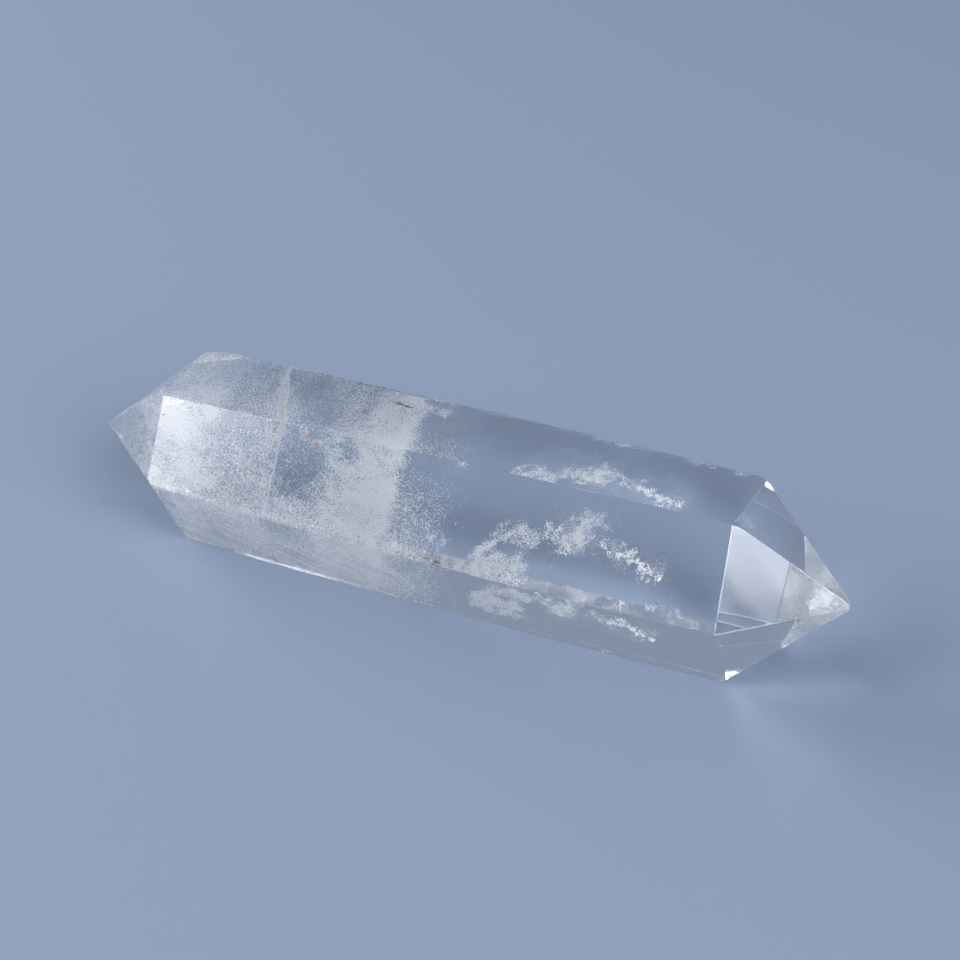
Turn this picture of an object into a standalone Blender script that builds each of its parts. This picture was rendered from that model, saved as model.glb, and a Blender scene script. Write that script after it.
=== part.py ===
"""Clear quartz point, cut from one crystal and polished, lying on one of its six long faces.

The stone runs along X and is 80 mm long. It is a six-sided prism with a six-sided pyramid at
each end, so both ends are points. Every face was ground by hand: the faces are a degree or so
off true, some are a little crowned, the tips are worn, and small chips are missing from edges.
The origin is under the middle of the stone, on the surface that it lies on.
"""

import math

import bmesh
import bpy
from mathutils import Matrix, Vector

MM = 0.001

# Driving dimensions
LENGTH = 80.0 * MM
AXIS_HEIGHT = 8.45 * MM
CROWN_REACH = 30.0 * MM
CROWN_STRIPS = 14
LEFT_TIP = Vector((-40.10, 0.00, 8.56)) * MM
RIGHT_TIP = Vector((40.45, -0.29, 8.56)) * MM

# The six long faces. Each has its turn about the axis in degrees, its depth from the axis,
# its taper towards +X, and how much it is crowned at the middle of its length.
LONG_FACES = {
    "top": (89.9, 8.44 * MM, 0.0047, 0.0),
    "front_upper": (150.3, 8.45 * MM, -0.0092, 0.0),
    "front_lower": (209.6, 8.27 * MM, 0.0019, 0.37 * MM),
    "bottom": (270.0, AXIS_HEIGHT, 0.0, 0.0),
    "back_lower": (330.0, 8.30 * MM, 0.0040, 0.30 * MM),
    "back_upper": (30.0, 8.43 * MM, -0.0096, 0.37 * MM),
}

# The pyramid faces at each end: turn about the axis, and slope to the axis, in degrees.
LEFT_FACETS = {
    "top": (90.5, 39.9),
    "front_upper": (151.1, 38.4),
    "front_lower": (210.9, 35.1),
    "bottom": (270.0, 38.2),
    "back_lower": (330.4, 37.6),
    "back_upper": (29.6, 38.6),
}
RIGHT_FACETS = {
    "top": (89.9, 39.2),
    "front_upper": (147.9, 37.3),
    "front_lower": (209.7, 39.1),
    "bottom": (270.0, 38.2),
    "back_lower": (329.8, 38.5),
    "back_upper": (30.3, 38.0),
}

# Corners that are worn off flat: which way the flat looks, and a point on it.
WORN_CORNERS = {
    "left_top_back": (Vector((-0.62, 0.44, 0.65)), Vector((-30.05, 5.05, 16.45)) * MM),
    "left_top_back_edge": (Vector((-0.16, 0.62, 0.77)), Vector((-29.70, 5.00, 16.75)) * MM),
    "left_bottom_front": (Vector((-0.55, -0.45, -0.70)), Vector((-27.85, -4.70, 0.22)) * MM),
    "right_top_back": (Vector((0.45, 0.48, 0.75)), Vector((29.80, 4.50, 16.78)) * MM),
    "right_top_front": (Vector((0.50, -0.35, 0.79)), Vector((29.80, -4.45, 16.98)) * MM),
}

# Chips out of an edge: the two faces that meet there, the place along X, the length of the
# chip and its depth.
EDGE_CHIPS = (
    ("back_upper", "top", -3.2 * MM, 1.6 * MM, 0.16 * MM),
    ("back_upper", "top", 13.5 * MM, 1.7 * MM, 0.34 * MM),
    ("back_upper", "top", 15.2 * MM, 1.2 * MM, 0.22 * MM),
    ("back_upper", "top", 22.9 * MM, 1.2 * MM, 0.24 * MM),
    ("back_upper", "top", 24.2 * MM, 0.9 * MM, 0.16 * MM),
    ("back_upper", "top", 27.4 * MM, 1.1 * MM, 0.18 * MM),
    ("front_lower", "bottom", -4.5 * MM, 0.8 * MM, 0.18 * MM),
    ("front_lower", "bottom", -1.4 * MM, 0.8 * MM, 0.18 * MM),
    ("front_lower", "bottom", 18.3 * MM, 0.7 * MM, 0.14 * MM),
    ("front_upper", "front_lower", -2.4 * MM, 0.8 * MM, 0.16 * MM),
    ("top", "front_upper", 3.1 * MM, 0.7 * MM, 0.13 * MM),
)

# The open pit in the top face near its back edge: middle, and half sizes along X, Y and Z.
PIT_MIDDLE = Vector((-7.0, 3.30, 16.90)) * MM
PIT_HALF_SIZE = Vector((1.05, 0.28, 0.30)) * MM

QUARTZ_COLOUR = (0.80, 0.84, 0.88, 1.0)
QUARTZ_IOR = 1.544


def outward(turn):
    """Direction away from the axis at a turn in degrees: 0 is the back, 90 is up."""
    angle = math.radians(turn)
    return Vector((0.0, math.cos(angle), math.sin(angle)))


def long_face_plane(name, x):
    """Point and normal of the plane that touches a long face at one place along the stone."""
    turn, depth, taper, crown = LONG_FACES[name]
    share = x / CROWN_REACH
    here = depth + taper * x + crown * (1.0 - share * share)
    rise = taper - 2.0 * crown * share / CROWN_REACH
    point = Vector((x, 0.0, AXIS_HEIGHT)) + outward(turn) * here
    normal = outward(turn) - Vector((rise, 0.0, 0.0))
    return point, normal.normalized()


def facet_plane(tip, facet, end):
    """Point and normal of a pyramid face, which runs through the tip; end is -1 or 1."""
    turn, slope = facet
    angle = math.radians(slope)
    normal = outward(turn) * math.cos(angle) + Vector((end * math.sin(angle), 0.0, 0.0))
    return tip, normal


def edge_point(first, second, x):
    """Where two neighbouring long faces meet at x, and the way straight out of that edge."""
    point_a, normal_a = long_face_plane(first, x)
    point_b, normal_b = long_face_plane(second, x)
    rows = Matrix((normal_a, normal_b, Vector((1.0, 0.0, 0.0))))
    reach = Vector((normal_a.dot(point_a), normal_b.dot(point_b), x))
    return rows.inverted() @ reach, (normal_a + normal_b).normalized()


def grind(stone, point, normal):
    """Takes off all that lies beyond a plane, and leaves one flat face there."""
    cut = bmesh.ops.bisect_plane(
        stone,
        geom=stone.verts[:] + stone.edges[:] + stone.faces[:],
        dist=1e-8,
        plane_co=point,
        plane_no=normal,
        clear_outer=True,
    )
    rim = [part for part in cut["geom_cut"] if isinstance(part, bmesh.types.BMEdge)]
    if rim:
        bmesh.ops.contextual_create(stone, geom=rim)


def quartz_material():
    """Clear, colourless, polished quartz."""
    material = bpy.data.materials.new("quartz")
    material.use_nodes = True
    shader = material.node_tree.nodes["Principled BSDF"]
    shader.inputs["Base Color"].default_value = QUARTZ_COLOUR
    shader.inputs["Roughness"].default_value = 0.04
    shader.inputs["IOR"].default_value = QUARTZ_IOR
    shader.inputs["Transmission Weight"].default_value = 1.0
    material.diffuse_color = QUARTZ_COLOUR
    return material


def cut_stone():
    """The stone with every face ground, still without its chips."""
    stone = bmesh.new()
    bmesh.ops.create_cube(stone, size=1.0)
    block = Matrix.Translation((0.0, 0.0, AXIS_HEIGHT)) @ Matrix.Diagonal((0.1, 0.03, 0.03, 1.0))
    bmesh.ops.transform(stone, matrix=block, verts=stone.verts[:])

    for name, (_, _, _, crown) in LONG_FACES.items():
        strips = CROWN_STRIPS if crown else 1
        for strip in range(strips):
            x = CROWN_REACH * ((2 * strip + 1) / strips - 1.0)
            grind(stone, *long_face_plane(name, x))

    grind(stone, Vector((-LENGTH / 2, 0.0, 0.0)), Vector((-1.0, 0.0, 0.0)))
    grind(stone, Vector((LENGTH / 2, 0.0, 0.0)), Vector((1.0, 0.0, 0.0)))
    for facet in LEFT_FACETS.values():
        grind(stone, *facet_plane(LEFT_TIP, facet, -1))
    for facet in RIGHT_FACETS.values():
        grind(stone, *facet_plane(RIGHT_TIP, facet, 1))
    for direction, point in WORN_CORNERS.values():
        grind(stone, point, direction.normalized())
    return stone


def add_lump(cutter, middle, turn, half_size):
    """Adds one rounded lump, the shape that a chip or a pit takes out of the stone."""
    place = Matrix.Translation(middle) @ turn @ Matrix.Diagonal((*half_size, 1.0))
    bmesh.ops.create_icosphere(cutter, subdivisions=2, radius=1.0, matrix=place)


def chip_cutter():
    """All the chips and the pit as one set of separate lumps."""
    cutter = bmesh.new()
    for first, second, x, length, depth in EDGE_CHIPS:
        point, way_out = edge_point(first, second, x)
        across = way_out.cross(Vector((1.0, 0.0, 0.0))).normalized()
        along = across.cross(way_out)
        turn = Matrix((along, across, way_out)).transposed().to_4x4()
        half_length = length / math.sqrt(3.0)
        half_size = (half_length, 0.8 * half_length, 2.0 * depth)
        add_lump(cutter, point + way_out * depth, turn, half_size)
    add_lump(cutter, PIT_MIDDLE, Matrix.Rotation(math.radians(-12.0), 4, "Z"), PIT_HALF_SIZE)
    return cutter


def add_object(name, shape):
    """Puts a finished bmesh into the scene under a name."""
    mesh = bpy.data.meshes.new(name)
    shape.to_mesh(mesh)
    shape.free()
    added = bpy.data.objects.new(name, mesh)
    bpy.context.scene.collection.objects.link(added)
    return added


def centre_on_origin(crystal, cutter):
    """Moves both meshes so that the stone's box has its bottom middle at the origin."""
    corners = [vertex.co for vertex in crystal.data.vertices]
    lowest = [min(corner[axis] for corner in corners) for axis in range(3)]
    highest = [max(corner[axis] for corner in corners) for axis in range(3)]
    middle = Vector(((lowest[0] + highest[0]) / 2, (lowest[1] + highest[1]) / 2, lowest[2]))
    for part in (crystal, cutter):
        part.data.transform(Matrix.Translation(-middle))


def build():
    """Cuts the stone, then takes the chips out of it."""
    for old in list(bpy.data.objects):
        bpy.data.objects.remove(old, do_unlink=True)

    crystal = add_object("quartz_crystal", cut_stone())
    crystal.data.materials.append(quartz_material())
    cutter = add_object("chip_cutter", chip_cutter())
    cutter.hide_render = True
    cutter.display_type = "WIRE"
    centre_on_origin(crystal, cutter)

    chips = crystal.modifiers.new("chips", "BOOLEAN")
    chips.operation = "DIFFERENCE"
    chips.solver = "EXACT"
    chips.object = cutter


build()
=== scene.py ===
"""Looks of the polished quartz point: the clear stone, and the milky veils and wisps inside it."""

import math

import bpy
import numpy as np
from mathutils import Matrix, Vector


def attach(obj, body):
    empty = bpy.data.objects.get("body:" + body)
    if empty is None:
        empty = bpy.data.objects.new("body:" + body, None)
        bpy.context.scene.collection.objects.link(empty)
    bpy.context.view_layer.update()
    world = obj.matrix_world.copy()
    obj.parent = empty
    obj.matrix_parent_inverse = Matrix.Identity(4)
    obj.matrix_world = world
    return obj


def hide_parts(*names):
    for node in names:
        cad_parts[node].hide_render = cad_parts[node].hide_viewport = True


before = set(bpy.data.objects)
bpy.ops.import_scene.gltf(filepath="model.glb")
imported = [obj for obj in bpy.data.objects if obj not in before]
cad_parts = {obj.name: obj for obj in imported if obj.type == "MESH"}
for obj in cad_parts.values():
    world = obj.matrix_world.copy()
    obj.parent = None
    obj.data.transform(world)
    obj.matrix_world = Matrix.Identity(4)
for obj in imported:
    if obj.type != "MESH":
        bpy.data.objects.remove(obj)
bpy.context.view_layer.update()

MM = 0.001


# The camera. It looks down on the stone from the front right, with a long lens, so the right
# point comes towards it. The lens, place and angles were found from the stone's own corners.
CAMERA_PLACE = np.array([85.76, -171.29, 123.68]) * MM
CAMERA_TURN = 25.87
CAMERA_DOWN = 30.34
CAMERA_ROLL = -0.22
CAMERA_LENS = 86.25

camera = bpy.data.objects.new("camera", bpy.data.cameras.new("camera"))
camera.data.lens = CAMERA_LENS
camera.data.sensor_width = 36.0
camera.data.clip_start = 0.01
camera.data.clip_end = 20.0
camera.location = CAMERA_PLACE
camera.rotation_euler = (
    Matrix.Rotation(math.radians(CAMERA_TURN), 3, "Z")
    @ Matrix.Rotation(math.radians(90.0 - CAMERA_DOWN), 3, "X")
    @ Matrix.Rotation(math.radians(CAMERA_ROLL), 3, "Z")
).to_euler()
bpy.context.scene.collection.objects.link(camera)
bpy.context.scene.camera = camera


# The floor and the studio light. The floor is a plain pale blue-grey sheet of card. Soft boxes
# stand at the front left, at the right and at the left behind, and a dim one hangs overhead.
FLOOR_REACH = 1.5
FLOOR_DROP = 0.02 * MM
FLOOR_COLOUR = (0.18, 0.225, 0.31, 1.0)
ROOM_COLOUR = (0.30, 0.36, 0.48, 1.0)
ROOM_STRENGTH = 0.75
INNER_BOUNCES = 48
GLOSSY_BOUNCES = 32
DIFFUSE_BOUNCES = 20

floor_mesh = bpy.data.meshes.new("floor")
floor_mesh.from_pydata(
    [(-FLOOR_REACH, -FLOOR_REACH, -FLOOR_DROP), (FLOOR_REACH, -FLOOR_REACH, -FLOOR_DROP),
     (FLOOR_REACH, FLOOR_REACH, -FLOOR_DROP), (-FLOOR_REACH, FLOOR_REACH, -FLOOR_DROP)],
    [],
    [(0, 1, 2, 3)],
)
floor = bpy.data.objects.new("floor", floor_mesh)
bpy.context.scene.collection.objects.link(floor)
floor_card = bpy.data.materials.new("floor_card")
floor_card.use_nodes = True
floor_shader = floor_card.node_tree.nodes["Principled BSDF"]
floor_shader.inputs["Base Color"].default_value = FLOOR_COLOUR
floor_shader.inputs["Roughness"].default_value = 0.9
floor_mesh.materials.append(floor_card)

room = bpy.data.worlds.new("room")
room.use_nodes = True
room.node_tree.nodes["Background"].inputs["Color"].default_value = ROOM_COLOUR
room.node_tree.nodes["Background"].inputs["Strength"].default_value = ROOM_STRENGTH
bpy.context.scene.world = room
bpy.context.scene.cycles.max_bounces = INNER_BOUNCES
bpy.context.scene.cycles.transmission_bounces = INNER_BOUNCES
bpy.context.scene.cycles.glossy_bounces = GLOSSY_BOUNCES
bpy.context.scene.cycles.diffuse_bounces = DIFFUSE_BOUNCES
bpy.context.scene.cycles.sample_clamp_indirect = 0.0
bpy.context.scene.cycles.blur_glossy = 0.0
bpy.context.scene.view_settings.view_transform = "Standard"


def soft_box(name, turn, height, distance, size, power, fades=(0.03, 0.03)):
    """A square area light that faces the stone; turn 0 is the front and 90 is the right.

    Its cloth is bright in the middle and fades to dark at its edges, over the two shares of its
    width and height that fades gives.
    """
    lamp = bpy.data.lights.new(name, "AREA")
    lamp.shape = "RECTANGLE"
    lamp.size, lamp.size_y = size
    lamp.energy = power
    lamp.use_nodes = True
    nodes, links = lamp.node_tree.nodes, lamp.node_tree.links
    place = nodes.new("ShaderNodeNewGeometry")
    parts = nodes.new("ShaderNodeSeparateXYZ")
    links.new(place.outputs["Parametric"], parts.inputs["Vector"])
    glow = nodes["Emission"].inputs["Strength"]
    shares = []
    for axis, fade in zip("XY", fades):
        for low, high in ((0.0, fade), (1.0, 1.0 - fade)):
            ramp = nodes.new("ShaderNodeMapRange")
            ramp.interpolation_type = "SMOOTHSTEP"
            ramp.inputs["From Min"].default_value = min(low, high)
            ramp.inputs["From Max"].default_value = max(low, high)
            ramp.inputs["To Min"].default_value = 0.0 if low < high else 1.0
            ramp.inputs["To Max"].default_value = 1.0 if low < high else 0.0
            links.new(parts.outputs[axis], ramp.inputs["Value"])
            shares.append(ramp.outputs["Result"])
    for share in shares[1:]:
        product = nodes.new("ShaderNodeMath")
        product.operation = "MULTIPLY"
        links.new(shares[0], product.inputs[0])
        links.new(share, product.inputs[1])
        shares[0] = product.outputs["Value"]
    links.new(shares[0], glow)
    angle, rise = math.radians(turn), math.radians(height)
    way = Vector((math.sin(angle) * math.cos(rise), -math.cos(angle) * math.cos(rise), math.sin(rise)))
    box = bpy.data.objects.new(name, lamp)
    box.location = way * distance
    box.rotation_euler = (-way).to_track_quat("-Z", "Y").to_euler()
    bpy.context.scene.collection.objects.link(box)


soft_box("front_left_box", turn=-45.4, height=30.5, distance=0.9, size=(0.476, 0.43), power=5.5,
         fades=(0.14, 0.1))
soft_box("right_box", turn=57.0, height=34.5, distance=0.9, size=(0.6, 0.6), power=8.4,
         fades=(0.05, 0.04))
soft_box("back_left_box", turn=-98.0, height=20.0, distance=1.0, size=(0.8, 0.5), power=10.0)
soft_box("overhead_box", turn=20.0, height=78.0, distance=1.1, size=(0.8, 0.8), power=2.0)


# The stone. It is one piece of clear quartz, sawn from a crystal, ground on a flat wheel to six
# long faces and two six-sided points, and polished. Its edges are just rounded by the polish, and
# it has a few old chips. It lies on its bottom face.
AXIS_Y = -0.10 * MM
AXIS_HEIGHT = 8.45 * MM
CROWN_REACH = 30.0 * MM
HALF_LENGTH = 40.0 * MM
LEFT_TIP = np.array([-40.10, 0.00, 8.56]) * MM
RIGHT_TIP = np.array([40.45, -0.29, 8.56]) * MM
EDGE_ROUNDING = 0.018 * MM
RIPPLE = 0.0012 * MM
PAST_SHOULDERS = 38.0 * MM

# Turn about the axis in degrees, depth from the axis, taper towards +X, and crown.
BACK_UPPER, TOP, FRONT_UPPER, FRONT_LOWER, BOTTOM, BACK_LOWER = range(6)
LONG_FACES = np.array([
    (30.0, 8.43 * MM, -0.0096, 0.37 * MM),
    (89.9, 8.44 * MM, 0.0047, 0.0),
    (150.3, 8.45 * MM, -0.0092, 0.0),
    (209.6, 8.27 * MM, 0.0019, 0.37 * MM),
    (270.0, AXIS_HEIGHT, 0.0, 0.0),
    (330.0, 8.30 * MM, 0.0040, 0.30 * MM),
])

# Turn about the axis and slope to the axis, in degrees, in the order of the long faces.
LEFT_FACETS = np.array([
    (29.6, 38.6), (90.5, 39.9), (151.1, 38.4), (210.9, 35.1), (270.0, 38.2), (330.4, 37.6),
])
RIGHT_FACETS = np.array([
    (30.3, 38.0), (89.9, 39.2), (147.9, 37.3), (209.7, 39.1), (270.0, 38.2), (329.8, 38.5),
])

# Worn corners: which way the flat looks, and a point on it.
WORN_CORNERS = (
    ((-0.62, 0.44, 0.65), (-30.05, 5.05, 16.45)),
    ((-0.16, 0.62, 0.77), (-29.70, 5.00, 16.75)),
    ((-0.55, -0.45, -0.70), (-27.85, -4.70, 0.22)),
    ((0.45, 0.48, 0.75), (29.80, 4.50, 16.78)),
    ((0.50, -0.35, 0.79), (29.80, -4.45, 16.98)),
)

# Chips out of an edge: first of the two faces that meet there, place along X, length and depth.
EDGE_CHIPS = (
    (BACK_UPPER, -3.2, 1.6, 0.16),
    (BACK_UPPER, 13.5, 1.7, 0.34),
    (BACK_UPPER, 15.2, 1.2, 0.22),
    (BACK_UPPER, 22.9, 1.2, 0.24),
    (BACK_UPPER, 24.2, 0.9, 0.16),
    (BACK_UPPER, 27.4, 1.1, 0.18),
    (FRONT_LOWER, -4.5, 0.8, 0.18),
    (FRONT_LOWER, -1.4, 0.8, 0.18),
    (FRONT_LOWER, 18.3, 0.7, 0.14),
    (FRONT_UPPER, -2.4, 0.8, 0.16),
    (TOP, 3.1, 0.7, 0.13),
)
PIT_MIDDLE = np.array([-7.0, 3.20, 16.90]) * MM
PIT_HALF_SIZE = np.array([1.05, 0.28, 0.30]) * MM
PIT_TURN = math.radians(-12.0)

# Distances in from an edge at which the surface has a line of points, close together where the
# polish has rounded the edge and where the chips are, and wide apart on the flat.
NEAR_EDGE = np.array([0.0, 0.02, 0.045, 0.08, 0.13, 0.2, 0.28, 0.38, 0.5, 0.65, 0.85]) * MM
FLAT_SPACING = 0.7 * MM
CHIP_SPACING = 0.08 * MM
FACE_WIDTH = 9.8 * MM
PIT_LINES = (1.0 * MM, 2.3 * MM)
INNER_MARGIN = 0.3 * MM

# Distances on from the shoulder towards the tip, which is 13 mm away: after NEAR_EDGE they are
# even, and NEAR_TIP gives the last ones, measured back from the tip.
TIP_REACH = 13.0 * MM
TOWARDS_TIP = np.arange(1.2, 10.0, 0.7) * MM
NEAR_TIP = np.array([2.2, 1.6, 1.2, 0.95, 0.8, 0.7, 0.62, 0.56, 0.5, 0.42, 0.3, 0.15]) * MM

# Shares of the way out from the stone's middle between which its skin is looked for.
SKIN_SHARES = (0.8, 1.05)
MIDDLE_REACH = 28.0 * MM


def directions(turns):
    """Unit vectors square to the axis, (0, cos turn, sin turn), for an array of turns in degrees."""
    angle = np.radians(turns)
    return np.stack([np.zeros_like(angle), np.cos(angle), np.sin(angle)], axis=-1)


def face_depths(x):
    """Depth of each long face from the axis at x: depth + taper x + crown (1 - (x / reach)^2)."""
    _, depth, taper, crown = LONG_FACES.T
    x = np.asarray(x)[..., None]
    return depth + taper * x + crown * (1.0 - (x / CROWN_REACH) ** 2)


def corner_points(face, x):
    """Where a long face meets the next one at x: the crossing of the lines n1.p = d1, n2.p = d2."""
    turns = np.radians(LONG_FACES[:, 0])
    following = (face + 1) % 6
    first, second = turns[face], turns[following]
    depths = face_depths(x)
    d1 = np.take_along_axis(depths, face[..., None], -1)[..., 0]
    d2 = np.take_along_axis(depths, following[..., None], -1)[..., 0]
    spread = np.sin(second - first)
    y = (d1 * np.sin(second) - d2 * np.sin(first)) / spread
    z = (d2 * np.cos(first) - d1 * np.cos(second)) / spread
    return np.stack([x, y, z + AXIS_HEIGHT], axis=-1)


def on_long_face(face, share, x):
    """Point on a long face at x: share of the way along the straight line between its corners."""
    start = corner_points((face - 1) % 6, x)
    end = corner_points(face, x)
    return start + (end - start) * share[..., None]


def facet_normals(facets, end):
    """Normals of the pyramid faces: cos(slope) outward plus sin(slope) along the axis."""
    slope = np.radians(facets[:, 1:2])
    return directions(facets[:, 0]) * np.cos(slope) + np.array([end, 0.0, 0.0]) * np.sin(slope)


def beyond_facets(points, facets, tip, end):
    """How far points stand out of a pyramid: the largest of n.(p - tip) over its faces."""
    return ((points - tip) @ facet_normals(facets, end).T).max(-1)


def shoulder(face, share, facets, tip, end):
    """X at which a line along a long face meets the pyramid, by halving an interval 50 times."""
    inner = np.zeros(share.shape)
    outer = np.full(share.shape, end * PAST_SHOULDERS)
    for _ in range(50):
        middle = (inner + outer) / 2
        outside = beyond_facets(on_long_face(face, share, middle), facets, tip, end) > 0
        outer = np.where(outside, middle, outer)
        inner = np.where(outside, inner, middle)
    return (inner + outer) / 2


def ripple(points):
    """Polish waviness, never outward: 3 + three crossed sine waves, 3 to 9 mm long."""
    x, y, z = np.moveaxis(points / MM, -1, 0)
    waves = np.sin(0.9 * x + 0.5 * z) + np.sin(1.7 * y - 0.6 * x + 1.0) + np.sin(1.3 * z + 1.1 * x + 2.0)
    return RIPPLE * (3.0 + waves)


def chip_lumps():
    """Middle, turning matrix and half sizes of each lump that is missing from an edge or face."""
    lumps = []
    for face, x, length, depth in EDGE_CHIPS:
        edge = corner_points(np.array(face), np.array(x * MM))
        way_out = directions(LONG_FACES[[face, (face + 1) % 6], 0]).sum(0)
        way_out /= np.linalg.norm(way_out)
        rows = np.array([(1.0, 0.0, 0.0), np.cross(way_out, (1.0, 0.0, 0.0)), way_out])
        half_length = length / math.sqrt(3.0)
        half_size = np.array([half_length, 0.8 * half_length, 2.0 * depth]) * MM
        lumps.append((edge + way_out * depth * MM, rows, half_size))
    turned = np.array([
        (math.cos(PIT_TURN), math.sin(PIT_TURN), 0.0),
        (-math.sin(PIT_TURN), math.cos(PIT_TURN), 0.0),
        (0.0, 0.0, 1.0),
    ])
    lumps.append((PIT_MIDDLE, turned, PIT_HALF_SIZE))
    return lumps


def outside_stone(points, lumps):
    """Height above the stone's surface, negative inside.

    It is the soft maximum, r log(sum exp(h / r)), of the heights h above all ground planes, where
    r is the edge rounding, and then the hard maximum with the depth into any chip's ellipsoid.
    """
    turned = points @ directions(LONG_FACES[:, 0]).T - directions(LONG_FACES[:, 0])[:, 2] * AXIS_HEIGHT
    heights = [turned - face_depths(points[..., 0])]
    heights.append((points - LEFT_TIP) @ facet_normals(LEFT_FACETS, -1).T)
    heights.append((points - RIGHT_TIP) @ facet_normals(RIGHT_FACETS, 1).T)
    heights.append(np.abs(points[..., :1]) - HALF_LENGTH)
    for way, place in WORN_CORNERS:
        way = np.array(way) / np.linalg.norm(way)
        heights.append(((points - np.array(place) * MM) @ way)[..., None])
    heights = np.concatenate(heights, axis=-1)
    top = heights.max(-1)
    soft = np.exp((heights - top[..., None]) / EDGE_ROUNDING).sum(-1)
    height = top + EDGE_ROUNDING * np.log(soft) + ripple(points)
    for middle, rows, half_size in lumps:
        local = (points - middle) @ rows.T / half_size
        reach = np.linalg.norm(local, axis=-1)
        into = (1.0 - reach) * half_size.min()
        height = np.maximum(height, np.where(reach < 1.3, into, -1.0))
    return height


def spread_lines(low, high, extra=()):
    """Places from low to high: near both ends as NEAR_EDGE, chip ranges fine, the rest even."""
    inner = np.arange(low + NEAR_EDGE[-1] + FLAT_SPACING / 2, high - NEAR_EDGE[-1], FLAT_SPACING)
    lines = [low + NEAR_EDGE, high - NEAR_EDGE[::-1], inner]
    lines += [np.arange(start, stop, CHIP_SPACING) for start, stop in extra]
    lines = np.unique(np.round(np.concatenate(lines), 7))
    keep = np.append(True, np.diff(lines) > 0.015 * MM)
    return lines[keep]


def stone_surface():
    """The stone's skin as a grid: rows run round it, and columns run from tip to tip.

    A column is a place on a long face, carried down the straight line from the shoulder to the
    tip at each end. Every point is then moved along the line to the stone's middle until it lies
    on the rounded, chipped surface.
    """
    faces, shares = [], []
    for face in range(6):
        extra = [PIT_LINES] if face == TOP else ()
        lines = spread_lines(0.0, FACE_WIDTH, extra)[:-1] / FACE_WIDTH
        shares.append(lines)
        faces.append(np.full(lines.shape, face))
    face, share = np.concatenate(faces), np.concatenate(shares)
    left = shoulder(face, share, LEFT_FACETS, LEFT_TIP, -1)
    right = shoulder(face, share, RIGHT_FACETS, RIGHT_TIP, 1)

    chip_ranges = [
        ((x - 0.6 * length) * MM, (x + 0.6 * length) * MM)
        for _, x, length, _ in EDGE_CHIPS
    ]
    chip_ranges.append((PIT_MIDDLE[0] - 1.2 * MM, PIT_MIDDLE[0] + 1.2 * MM))
    low, high = left.max() + NEAR_EDGE[-1], right.min() - NEAR_EDGE[-1]
    inner = spread_lines(low, high, chip_ranges)
    inner = inner[(inner > low + INNER_MARGIN) & (inner < high - INNER_MARGIN)]
    near_left = left[:, None] + NEAR_EDGE
    near_right = right[:, None] - NEAR_EDGE[::-1]
    between = np.broadcast_to(inner, (len(face), len(inner)))
    x = np.concatenate([near_left, between, near_right], axis=1)
    body = on_long_face(face[:, None] + np.zeros_like(x, int), share[:, None] + 0.0 * x, x)

    slant = np.concatenate([NEAR_EDGE[1:], TOWARDS_TIP, TIP_REACH - NEAR_TIP])
    fraction = (slant / TIP_REACH)[None, :, None]
    left_end = body[:, :1] + (LEFT_TIP - body[:, :1]) * fraction
    right_end = body[:, -1:] + (RIGHT_TIP - body[:, -1:]) * fraction
    base = np.concatenate([left_end[:, ::-1], body, right_end], axis=1)

    middle_x = np.clip(base[..., 0], -MIDDLE_REACH, MIDDLE_REACH)
    middle = np.stack([middle_x, 0.0 * middle_x, 0.0 * middle_x + AXIS_HEIGHT], axis=-1)
    reach = base - middle
    lumps = chip_lumps()
    inside, outside = (np.full(middle_x.shape, share_out) for share_out in SKIN_SHARES)
    for _ in range(34):
        trial = (inside + outside) / 2
        above = outside_stone(middle + reach * trial[..., None], lumps) > 0
        outside = np.where(above, trial, outside)
        inside = np.where(above, inside, trial)
    return middle + reach * trial[..., None]


def closed_tube(points, first_pole, last_pole):
    """Vertices and faces of a grid that closes round its first axis and ends in two poles."""
    columns, rows = points.shape[:2]
    vertices = np.concatenate([points.reshape(-1, 3), [first_pole, last_pole]])
    number = np.arange(columns * rows).reshape(columns, rows)
    after = np.roll(number, -1, axis=0)
    quads = np.stack([number[:, :-1], after[:, :-1], after[:, 1:], number[:, 1:]], axis=-1)
    first = np.full(columns, columns * rows)
    last = first + 1
    caps = np.concatenate([
        np.stack([after[:, 0], number[:, 0], first], axis=-1),
        np.stack([number[:, -1], after[:, -1], last], axis=-1),
    ])
    return vertices, quads.reshape(-1, 4).tolist() + caps.tolist()


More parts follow.
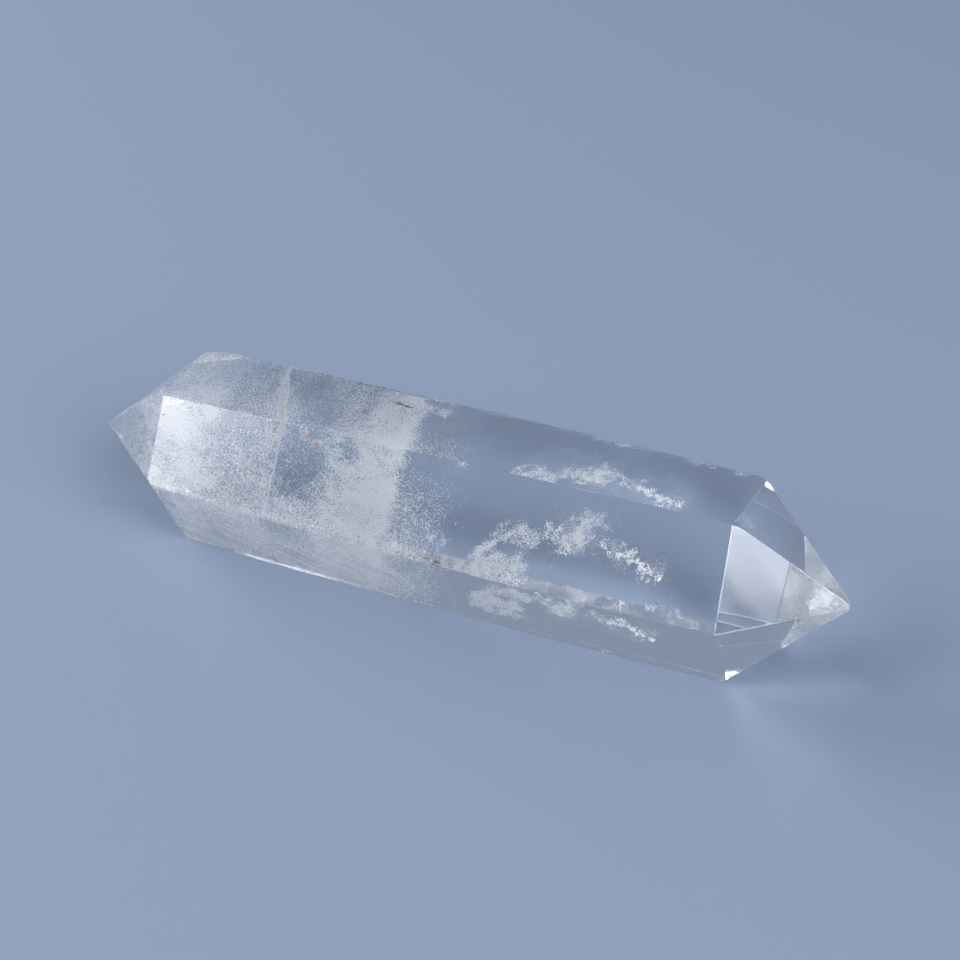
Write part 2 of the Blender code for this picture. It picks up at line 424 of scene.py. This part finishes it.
def quartz_material():
    """Clear quartz: plain transmission and absorption, with faint polish haze and fine pits."""
    material = bpy.data.materials.new("clear_quartz")
    material.use_nodes = True
    nodes, links = material.node_tree.nodes, material.node_tree.links
    shader = nodes["Principled BSDF"]
    shader.inputs["Base Color"].default_value = (1.0, 1.0, 1.0, 1.0)
    shader.inputs["IOR"].default_value = 1.544
    shader.inputs["Transmission Weight"].default_value = 1.0
    place = nodes.new("ShaderNodeTexCoord")
    haze = nodes.new("ShaderNodeTexNoise")
    haze.inputs["Scale"].default_value = 260.0
    haze.inputs["Detail"].default_value = 3.0
    roughness = nodes.new("ShaderNodeMapRange")
    roughness.inputs["From Min"].default_value = 0.35
    roughness.inputs["From Max"].default_value = 0.75
    roughness.inputs["To Min"].default_value = 0.004
    roughness.inputs["To Max"].default_value = 0.03
    links.new(place.outputs["Object"], haze.inputs["Vector"])
    links.new(haze.outputs["Fac"], roughness.inputs["Value"])
    links.new(roughness.outputs["Result"], shader.inputs["Roughness"])
    grain = nodes.new("ShaderNodeTexNoise")
    grain.inputs["Scale"].default_value = 1400.0
    grain.inputs["Detail"].default_value = 2.0
    relief = nodes.new("ShaderNodeBump")
    relief.inputs["Strength"].default_value = 0.03
    relief.inputs["Distance"].default_value = 0.00002
    links.new(place.outputs["Object"], grain.inputs["Vector"])
    links.new(grain.outputs["Fac"], relief.inputs["Height"])
    pits = nodes.new("ShaderNodeTexVoronoi")
    pits.inputs["Scale"].default_value = 1000.0
    pit_shape = nodes.new("ShaderNodeMapRange")
    pit_shape.inputs["From Min"].default_value = 0.06
    pit_shape.inputs["From Max"].default_value = 0.22
    patches = nodes.new("ShaderNodeTexNoise")
    patches.inputs["Scale"].default_value = 230.0
    patches.inputs["Detail"].default_value = 2.0
    pitted = nodes.new("ShaderNodeMapRange")
    pitted.inputs["From Min"].default_value = 0.55
    pitted.inputs["From Max"].default_value = 0.62
    pitted.inputs["To Max"].default_value = 1.0
    parts = nodes.new("ShaderNodeSeparateXYZ")
    left_half = nodes.new("ShaderNodeMapRange")
    left_half.inputs["From Min"].default_value = -0.004
    left_half.inputs["From Max"].default_value = -0.020
    both = nodes.new("ShaderNodeMath")
    both.operation = "MULTIPLY"
    links.new(place.outputs["Object"], parts.inputs["Vector"])
    links.new(parts.outputs["X"], left_half.inputs["Value"])
    links.new(pitted.outputs["Result"], both.inputs[0])
    links.new(left_half.outputs["Result"], both.inputs[1])
    dents = nodes.new("ShaderNodeBump")
    dents.inputs["Distance"].default_value = 0.00004
    links.new(place.outputs["Object"], pits.inputs["Vector"])
    links.new(place.outputs["Object"], patches.inputs["Vector"])
    links.new(pits.outputs["Distance"], pit_shape.inputs["Value"])
    links.new(patches.outputs["Fac"], pitted.inputs["Value"])
    links.new(pit_shape.outputs["Result"], dents.inputs["Height"])
    links.new(both.outputs["Value"], dents.inputs["Strength"])
    links.new(relief.outputs["Normal"], dents.inputs["Normal"])
    links.new(dents.outputs["Normal"], shader.inputs["Normal"])
    absorption = nodes.new("ShaderNodeVolumeAbsorption")
    absorption.inputs["Color"].default_value = (0.80, 0.86, 0.90, 1.0)
    absorption.inputs["Density"].default_value = 6.0
    links.new(absorption.outputs["Volume"], nodes["Material Output"].inputs["Volume"])
    return material


skin = stone_surface() + np.array([0.0, AXIS_Y, 0.0])
left_pole = np.array([-HALF_LENGTH, LEFT_TIP[1] + AXIS_Y, LEFT_TIP[2]])
right_pole = np.array([HALF_LENGTH, RIGHT_TIP[1] + AXIS_Y, RIGHT_TIP[2]])
vertices, faces = closed_tube(skin, left_pole, right_pole)
stone_mesh = bpy.data.meshes.new("clear_stone")
stone_mesh.from_pydata(vertices.tolist(), [], faces)
stone_mesh.shade_smooth()
stone_mesh.materials.append(quartz_material())
stone = bpy.data.objects.new("clear_stone", stone_mesh)
bpy.context.scene.collection.objects.link(stone)
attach(stone, "root")
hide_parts("quartz_crystal")


# The milky cloud, which fills the left half of the stone. It is a fog of tiny bubbles, grown into
# the quartz. Here it is a swarm of small closed white flecks about a tenth of a millimetre across,
# packed close where it is milky, with clear windows right of the healed crack.
CLOUD_FLECK = 0.085
CLOUD_TRIES = 2900000
CLOUD_BOX = np.array([(-39.0, -9.7, 0.2), (3.0, 9.7, 16.8)])
SWARM_LIMIT = 49000

# Sizes of the fog's patches, grain and threads, in millimetres, and its density in each part.
PATCH_SIZE = 3.0
GRAIN_SIZE = 0.6
THREAD_SIZE = 1.3
LEFT_DENSITY = 0.42
RIGHT_DENSITY = 0.50
FIBRE_DENSITY = 0.28
TRAIL_DENSITY = 0.18
CLEAR_SHARE = 0.10

# Clear windows in the fog: middle along X, middle up or across, and the two half sizes.
FRONT_WINDOW = (-13.6, 14.2, 2.7, 3.2)
SMALL_WINDOW = (-8.4, 15.6, 1.4, 1.1)
TOP_WINDOW = (-16.4, 2.0, 2.0, 2.4)
PIT_WINDOW = (PIT_MIDDLE[0] / MM, PIT_MIDDLE[1] / MM - 0.1, 1.3, 0.55)

random = np.random.default_rng(1729)


def lattice_noise(points, seed):
    """Smooth noise from 0 to 1: random values on the unit lattice, blended by 3 t^2 - 2 t^3."""
    cell = np.floor(points).astype(np.int64)
    part = points - cell
    part = part * part * (3.0 - 2.0 * part)
    total = np.zeros(len(points))
    for corner in np.ndindex(2, 2, 2):
        x, y, z = (cell + corner).T
        mixed = (x * 73856093) ^ (y * 19349663) ^ (z * 83492791) ^ (seed * 2654435761)
        mixed = (mixed ^ (mixed >> 13)) * 1274126177
        value = ((mixed ^ (mixed >> 16)) & 0xFFFF) / 65535.0
        share = np.where(corner, part, 1.0 - part).prod(-1)
        total += share * value
    return total


def cloud_noise(points, seed, octaves=3):
    """Lattice noise at 1, 2, 4 times the frequency, with weights 0.6^k, spread to fill 0 to 1."""
    weights = 0.6 ** np.arange(octaves)
    waves = [w * lattice_noise(points * 2.0**k, seed + k) for k, w in enumerate(weights)]
    return np.clip(0.5 + 1.9 * (sum(waves) / weights.sum() - 0.5), 0.0, 1.0)


def step(low, high, value):
    """Smooth step from 0 at low to 1 at high: 3 t^2 - 2 t^3."""
    t = np.clip((value - low) / (high - low), 0.0, 1.0)
    return t * t * (3.0 - 2.0 * t)


def threads(points, seed):
    """Thin bright lines where the noise crosses one half: step of 1 - |2 noise - 1|."""
    return step(0.80, 1.0, 1.0 - np.abs(2.0 * cloud_noise(points, seed) - 1.0))


def kept(places, density):
    """The places that survive a draw against their density."""
    return places[random.uniform(size=len(places)) < density]


def under_skin(points, lumps=()):
    """Depth of points, in millimetres, under the skin."""
    return -outside_stone(points * MM, lumps) / MM


def layers(points):
    """Points in axes drawn out 6 times along the veils, which run back and down from the front.

    They are drawn out 1.8 times more along the streaks, which fall to the right.
    """
    back = np.array([-0.25, 0.82, -0.52])
    streak = np.array([0.90, -0.01, -0.44])
    across = np.cross(back, streak)
    return points @ np.array([back / 6.0, streak / 1.8, across]).T


def seen_on_front(points):
    """Where a line drawn along the veils through each point comes out at the front upper face.

    It comes out at x + 0.25 d and z + 0.52 d. The distance d is the depth square to the face,
    8.55 + 0.869 y - 0.495 (z - 8.45), over 0.968.
    """
    x, y, z = points.T
    depth = (8.55 - (-0.869 * y + 0.495 * (z - 8.45))) / 0.968
    return x + 0.25 * depth, z + 0.52 * depth


def seen_on_top(points):
    """Where a steeper line through each point comes out at the top face: x + 0.25 d, y - 0.50 d.

    The distance d is the depth under the top face, 16.9 - z, over 0.83.
    """
    x, y, z = points.T
    depth = (16.9 - z) / 0.83
    return x + 0.25 * depth, y - 0.50 * depth


def crack_wave(points):
    """The healed crack's unevenness in millimetres: half of the noise less one half."""
    return 0.5 * (cloud_noise(points / 2.0, 70) - 0.5)


def past_crack(points):
    """How far right of the healed crack a point is: x + 18.2 + 0.5 y - 0.31 (z - 16.8), waved."""
    x, y, z = points.T
    return x + 18.2 + 0.5 * y - 0.31 * (z - 16.8) + crack_wave(points)


def past_front(points):
    """How far right of the cloud's curved front a point is.

    The front is at -6.95 - 0.22 y + 0.176 z, it bulges by 2.6 low down at the front face, and
    noise waves it by 0.9 each way.
    """
    x, y, z = points.T
    front = -6.95 - 0.22 * y + 0.176 * z + 2.6 * step(12.0, 6.0, z) * step(-4.0, -9.0, y)
    return x - front - 1.8 * (cloud_noise(points / 2.5, 11) - 0.5)


def fibres(points):
    """Fibres near the bottom, which fall to the right as seen through the lower front face.

    Each point is carried straight out to that face. The noise there is drawn out 5 mm along the
    fibres and 0.55 mm across them, and it changes little with the depth.
    """
    x, y, z = points.T
    depth = (8.6 + 0.869 * y + 0.494 * (z - 8.45)) / 0.777
    across_face = 1.15 * (z + 0.08 * depth)
    along_face = x + 0.31 * depth
    along = 0.93 * along_face - 0.37 * across_face
    across = 0.37 * along_face + 0.93 * across_face
    drawn = np.stack([along / 5.0, across / 0.55, depth / 9.0], axis=-1)
    return step(0.45, 0.72, cloud_noise(drawn, 33))


def in_window(first, second, window):
    """Distance from a window's middle, 1 at its rim: sqrt(((a - a0) / h)^2 + ((b - b0) / k)^2)."""
    return np.hypot((first - window[0]) / window[2], (second - window[1]) / window[3])


def fogged(points):
    """1 in the fog and CLEAR_SHARE in its three windows, whose rims are blurred; 0 under the pit."""
    front_x, front_z = seen_on_front(points)
    top_x, top_y = seen_on_top(points)
    blur = 0.9 * (cloud_noise(layers(points) / THREAD_SIZE, 61) - 0.5)
    first = in_window(front_x - 0.2 * (front_z - 13.7), front_z, FRONT_WINDOW) + blur
    second = in_window(front_x, front_z, SMALL_WINDOW) + blur
    third = in_window(top_x, top_y, TOP_WINDOW) + blur
    fog = step(0.75, 1.2, first) * step(0.6, 1.3, second) * step(0.7, 1.2, third)
    return (CLEAR_SHARE + (1.0 - CLEAR_SHARE) * fog) * step(0.8, 1.1, in_window(top_x, top_y, PIT_WINDOW))


def cloud_density(points):
    """Share of the tries kept at each point.

    The texture is patches times grain, plus threads. It is dense left of the crack and towards
    the front, thin in the left tip, and it ends softly at the front. Low down, fibres take its
    place, and past the front a trail of threads thins out.
    """
    crack, front = past_crack(points), past_front(points)
    drawn = layers(points)
    broad = cloud_noise(drawn / PATCH_SIZE, 1)
    fine = cloud_noise(drawn / GRAIN_SIZE, 21)
    lines = threads(drawn / THREAD_SIZE, 31)
    patches = 0.15 + 0.85 * step(0.25, 0.75, broad)
    grain = 0.2 + 0.8 * step(0.3, 0.7, fine)
    texture = patches * grain + 0.45 * lines
    left = step(-0.1, -0.6, crack) * (0.30 + 0.5 * step(-3.0, -8.0, crack)) * LEFT_DENSITY
    right = step(0.0, 1.5, crack) * (0.30 + 0.70 * step(-8.5, -2.5, front)) * RIGHT_DENSITY
    inner = (left + right) * texture * fogged(points) * step(0.7, -0.5, front)

    low_front = step(6.5, 3.5, points[:, 2]) * step(3.0, -2.0, points[:, 1])
    fibrous = (0.02 + FIBRE_DENSITY * fibres(points)) * step(1.5, -2.0, front - 3.0)
    inner = inner + (fibrous - inner) * 0.85 * low_front

    low = step(16.5, 10.5, seen_on_front(points)[1])
    ahead = step(8.0, 0.0, front) * step(-0.5, 0.5, front)
    trail = (0.02 + TRAIL_DENSITY * lines) * ahead * low
    tip = 0.55 + 0.45 * step(-33.0, -29.5, points[:, 0])
    return (inner + trail) * tip * step(-39.0, -36.0, points[:, 0])


def veil_material(name, dark, light):
    """A veil's dull surface: each fleck has its own tone between two colours."""
    material = bpy.data.materials.new(name)
    material.use_nodes = True
    nodes, links = material.node_tree.nodes, material.node_tree.links
    shader = nodes["Principled BSDF"]
    tone = nodes.new("ShaderNodeAttribute")
    tone.attribute_name = "tone"
    blend = nodes.new("ShaderNodeMix")
    blend.data_type = "RGBA"
    blend.inputs["A"].default_value = dark
    blend.inputs["B"].default_value = light
    links.new(tone.outputs["Fac"], blend.inputs["Factor"])
    links.new(blend.outputs["Result"], shader.inputs["Base Color"])
    shader.inputs["Roughness"].default_value = 0.5
    shader.inputs["Specular IOR Level"].default_value = 0.0
    return material


def flecks(name, places, size, material):
    """A mesh of closed, flattened tetrahedra, one at each place in millimetres.

    Each has three corners on a circle square to its own random normal and a fourth above its
    middle. Sizes spread by a log-normal law, up to 1.8 times the size given.
    """
    count = len(places)
    way = random.normal(size=(count, 3))
    way /= np.linalg.norm(way, axis=1, keepdims=True)
    side = np.cross(way, random.normal(size=(count, 3)))
    side /= np.linalg.norm(side, axis=1, keepdims=True)
    other = np.cross(way, side)
    width = size * np.minimum(np.exp(0.4 * random.normal(size=count)), 1.8)
    angle = np.array([0.0, 2.0, 4.0]) * math.pi / 3.0
    ring = side[:, None] * np.cos(angle)[:, None] + other[:, None] * np.sin(angle)[:, None]
    ring = ring * (width / math.sqrt(3.0))[:, None, None]
    ring = ring * random.uniform(0.6, 1.4, size=(count, 3, 1))
    peak = 0.35 * way[:, None] * width[:, None, None]
    corners = places[:, None] + np.concatenate([ring, peak], axis=1)
    corners = corners.reshape(-1, 3) * MM + np.array([0.0, AXIS_Y, 0.0])
    pattern = np.array([(0, 2, 1), (0, 1, 3), (1, 2, 3), (2, 0, 3)])
    triangles = (4 * np.arange(count)[:, None, None] + pattern).reshape(-1)
    mesh = bpy.data.meshes.new(name)
    mesh.vertices.add(len(corners))
    mesh.vertices.foreach_set("co", corners.ravel())
    mesh.loops.add(len(triangles))
    mesh.loops.foreach_set("vertex_index", triangles)
    mesh.polygons.add(len(triangles) // 3)
    mesh.polygons.foreach_set("loop_start", np.arange(0, len(triangles), 3))
    mesh.update(calc_edges=True)
    tone = mesh.attributes.new("tone", "FLOAT", "POINT")
    tone.data.foreach_set("value", np.repeat(random.uniform(size=count), 4))
    mesh.materials.append(material)
    swarm = bpy.data.objects.new(name, mesh)
    bpy.context.scene.collection.objects.link(swarm)
    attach(swarm, "root")


milky = veil_material("milky_veil", (0.955, 0.965, 0.985, 1.0), (1.0, 1.0, 1.0, 1.0))
places = random.uniform(*CLOUD_BOX, size=(CLOUD_TRIES, 3))
places = places[under_skin(places) > 1.6 * CLOUD_FLECK]
places = kept(places, cloud_density(places))
places = places[np.argsort(places[:, 0])]
for number, part in enumerate(np.array_split(places, math.ceil(len(places) / SWARM_LIMIT))):
    flecks(f"milky_cloud_{number + 1}", part, CLOUD_FLECK, milky)


# The healed crack and the feather veil. Each is a thin, bent film of bubbles across the stone.
# The crack is brightest where it comes out at the skin, and the feather frays at its rim.
def film(tries, middle, along, across, bend, thickness):
    """Places spread over a thin film, middle + s along + t across, with s and t from -1 to 1.

    It is lifted along its normal by bend (1 - s^2 - t^2) and blurred by its thickness. Also
    gives s and t.
    """
    middle, along, across = (np.array(v, float) for v in (middle, along, across))
    s, t = random.uniform(-1.0, 1.0, size=(2, tries))
    normal = np.cross(along, across)
    normal /= np.linalg.norm(normal)
    flat = middle + s[:, None] * along + t[:, None] * across
    lift = bend * (1.0 - s * s - t * t) + thickness * random.normal(size=tries)
    return flat + lift[:, None] * normal, s, t


places, _, _ = film(tries=150000, middle=(-20.8, 0.0, 8.4), along=(-4.85, 9.7, 0.0),
                    across=(2.6, 0.0, 8.3), bend=0.0, thickness=0.04)
places[:, 0] += crack_wave(places)
_, y, z = places.T
depth = under_skin(places)
front_side = step(3.0, -1.0, y) + step(12.5, 15.5, z)
body = 0.55 * step(11.5, 16.0, z) * step(0.25, 0.6, cloud_noise(places / 1.4, 81)) + 0.03
rim = 0.9 * step(0.55, 0.15, depth) * step(0.2, 0.5, cloud_noise(places / 0.9, 84)) * front_side
places = kept(places, (body + rim) * (depth > 0.13))
flecks("healed_crack", places, size=0.08, material=milky)

# Where the crack meets the top front edge it has a faint greenish rim.
greenish = veil_material("crack_rim", (0.94, 0.97, 0.84, 1.0), (1.0, 1.0, 0.95, 1.0))
places, _, _ = film(tries=9000, middle=(-16.9, -2.9, 16.6), along=(-0.9, 1.8, 0.0),
                    across=(0.1, 0.0, 0.35), bend=0.0, thickness=0.06)
places[:, 0] += crack_wave(places)
places = kept(places, (under_skin(places) > 0.1) * step(0.4, 0.6, cloud_noise(places / 0.5, 85)))
flecks("crack_rim", places, size=0.06, material=greenish)

# The feather has two lobes of short strokes, which rise to the right.
FEATHER_ALONG = 3.2
FEATHER_ACROSS = 3.7
STROKE_WAY = (0.64, 0.77)
STROKE_LENGTH = 0.9
STROKE_WIDTH = 0.45
places, s, t = film(tries=60000, middle=(6.3, 1.6, 4.1), along=(FEATHER_ALONG, 0.2, -0.2),
                    across=(0.6, 2.6, 2.6), bend=0.6, thickness=0.35)
s, t = FEATHER_ALONG * s, FEATHER_ACROSS * t
along_stroke = (STROKE_WAY[0] * s + STROKE_WAY[1] * t) / STROKE_LENGTH
across_stroke = (STROKE_WAY[0] * t - STROKE_WAY[1] * s) / STROKE_WIDTH
strokes = np.stack([along_stroke, across_stroke, 0.0 * s], axis=-1)
specks = step(0.2, 0.5, cloud_noise(places / 0.3, 96))
grain = 0.2 + 0.8 * step(0.3, 0.7, cloud_noise(strokes, 94)) * specks
fray = 0.8 * (cloud_noise(strokes / 2.0, 95) - 0.5)
upper = np.hypot((s - 0.3 - 0.3 * t) / 2.2, (t - 2.0) / 1.5) + fray
lower = np.hypot((s + 0.1) / 2.9, (t + 1.4) / 2.1) + fray
edge = np.maximum(0.6 * step(1.15, 0.4, upper), step(1.15, 0.4, lower))
places = kept(places, 0.6 * edge * grain * (under_skin(places) > 0.2))
flecks("feather_veil", places, size=0.08, material=milky)


# The wisps in the clear right half. They are threads of bright bubbles with many short branches,
# grown along old cracks, with a plume above the first and a long tail on the second.
WALK = 8


def wisp(count, path, branches, reach, thickness):
    """Places along a branching thread, in millimetres.

    The branches start in small clumps, scattered about the line from point to point of the path.
    A branch is a random walk of 8 steps whose direction is itself a running sum of random turns.
    The flecks spread about it by a normal law of the given thickness.
    """
    path = np.array(path, float)
    knots = np.linspace(0.0, 1.0, len(path))
    clumps = random.uniform(size=max(branches // 9, 3))
    middle = np.stack([np.interp(clumps, knots, line) for line in path.T], axis=-1)
    middle += 0.5 * reach * random.normal(size=middle.shape)
    start = random.choice(middle, branches) + 0.16 * reach * random.normal(size=(branches, 3))
    way = random.normal(size=(branches, 1, 3)) + 1.1 * random.normal(size=(branches, WALK, 3)).cumsum(1)
    way /= np.linalg.norm(way, axis=-1, keepdims=True)
    length = reach * (0.15 + 0.9 * random.uniform(size=branches) ** 3)
    walk = np.concatenate([np.zeros((branches, 1, 3)), way.cumsum(1)], axis=1)
    walk = start[:, None] + walk * (length / WALK)[:, None, None]
    which = random.choice(branches, size=count, p=length / length.sum())
    along = random.uniform(size=count) * WALK
    stop = along.astype(int)
    part = (along - stop)[:, None]
    places = walk[which, stop] * (1.0 - part) + walk[which, stop + 1] * part
    return places + thickness * random.normal(size=(count, 3))


# Name, count of flecks, branches, reach of a branch, thickness and path of each wisp.
WISPS = (
    ("first_wisp", 9500, 330, 0.95, 0.022, [(10.0, 4.2, 6.8), (10.9, 4.9, 5.2), (11.8, 5.4, 4.4),
                                           (12.8, 5.6, 4.6), (13.0, 4.4, 6.0)]),
    ("plume", 3600, 240, 1.0, 0.05, [(12.2, 4.6, 6.8), (14.0, 4.6, 8.0), (15.2, 4.6, 8.9)]),
    ("second_wisp", 6400, 260, 0.85, 0.022, [(14.8, 5.0, 5.8), (16.6, 5.8, 4.9), (18.2, 5.0, 4.9),
                                            (19.8, 4.4, 4.6), (21.9, 4.8, 3.7)]),
    ("edge_wisp", 1200, 70, 0.6, 0.02, [(24.2, -8.0, 8.9), (25.6, -8.2, 9.0), (27.0, -8.0, 8.6)]),
    ("lone_speck", 500, 14, 0.5, 0.02, [(0.5, -4.6, 7.9), (0.9, -4.4, 8.0)]),
)
for name, count, branches, reach, thickness, path in WISPS:
    places = wisp(count, path, branches, reach, thickness)
    dust = wisp(count // 4, path, branches, reach, thickness=0.5 * reach)
    places = np.concatenate([places, dust])
    flecks(name, places[under_skin(places) > 0.16], size=0.052, material=milky)


# The bruises. Where the stone was knocked, at the chips, the pit and the left shoulder, there is
# a crush of fine white cracks just under the skin. A pinkish one runs beside the top front edge.
def bruise(count, middle, half_size):
    """Places in a rounded lump round a middle, thinned out into patches, just under the skin."""
    places = np.array(middle) + np.array(half_size) * random.normal(size=(count, 3))
    depth = under_skin(places, chip_lumps())
    thin = step(0.35, 0.65, cloud_noise(places / 0.35, 55))
    return kept(places, thin * (depth > 0.1) * step(0.7, 0.15, depth))


# Tries for each millimetre of a chip's length, and tries, middle and half size of the others:
# two at the pit, one on the front edge, two at the left shoulder and two more in front.
CHIP_TRIES = 2600
BRUISES = (
    (9000, (-5.2, 3.5, 16.6), (1.5, 0.5, 0.3)),
    (5000, (-2.9, 3.4, 16.7), (0.5, 0.3, 0.3)),
    (3000, (2.8, -8.5, 10.2), (0.25, 0.3, 0.4)),
    (9000, (-29.6, 1.6, 16.5), (0.4, 2.4, 0.35)),
    (4000, (-32.0, 1.5, 14.6), (0.9, 0.7, 0.9)),
    (1500, (-4.6, -5.3, 15.9), (0.5, 0.3, 0.3)),
    (2500, (-1.9, -9.1, 8.8), (0.45, 0.3, 0.3)),
)
bruises = []
for face, x, length, _ in EDGE_CHIPS:
    edge = corner_points(np.array(face), np.array(x * MM)) / MM
    bruises.append(bruise(int(CHIP_TRIES * length), edge, (0.42 * length, 0.35, 0.35)))
for count, middle, half_size in BRUISES:
    bruises.append(bruise(count, middle, half_size))
flecks("bruises", np.concatenate(bruises), size=0.055, material=milky)

# Splinters run through the crush round the pit.
path = [(-4.8, 3.9, 16.55), (-3.6, 3.7, 16.55), (-2.5, 3.2, 16.6)]
places = wisp(count=3000, path=path, branches=60, reach=0.7, thickness=0.02)
flecks("pit_splinters", places[under_skin(places) > 0.1], size=0.055, material=milky)

# The pinkish thread hangs from the top front edge in a hook.
pink = veil_material("pink_bruise", (1.0, 0.84, 0.83, 1.0), (1.0, 0.95, 0.95, 1.0))
path = [(-13.1, -4.75, 16.5), (-13.6, -5.3, 15.7), (-12.6, -5.5, 15.5), (-11.5, -5.4, 15.8)]
places = wisp(count=4500, path=path, branches=260, reach=0.35, thickness=0.03)
flecks("pink_thread", places[under_skin(places) > 0.09], size=0.06, material=pink)

# The pit on top has dark flecks in its floor. They are painted shade, standing in for the darkness of the
# hollow pit.
pit_shade_paint = veil_material("pit_painted_shade", (0.05, 0.06, 0.065, 1.0), (0.22, 0.24, 0.25, 1.0))
places, s, t = film(tries=4500, middle=(-7.0, 3.2, 16.42), along=(1.0, -0.21, 0.0),
                    across=(0.06, 0.27, 0.0), bend=-0.05, thickness=0.03)
rough_rim = np.hypot(s, t) + 0.7 * (cloud_noise(places / 0.25, 97) - 0.5)
flecks("pit_painted_shade", kept(places, step(1.1, 0.8, rough_rim)), size=0.09, material=pit_shade_paint)
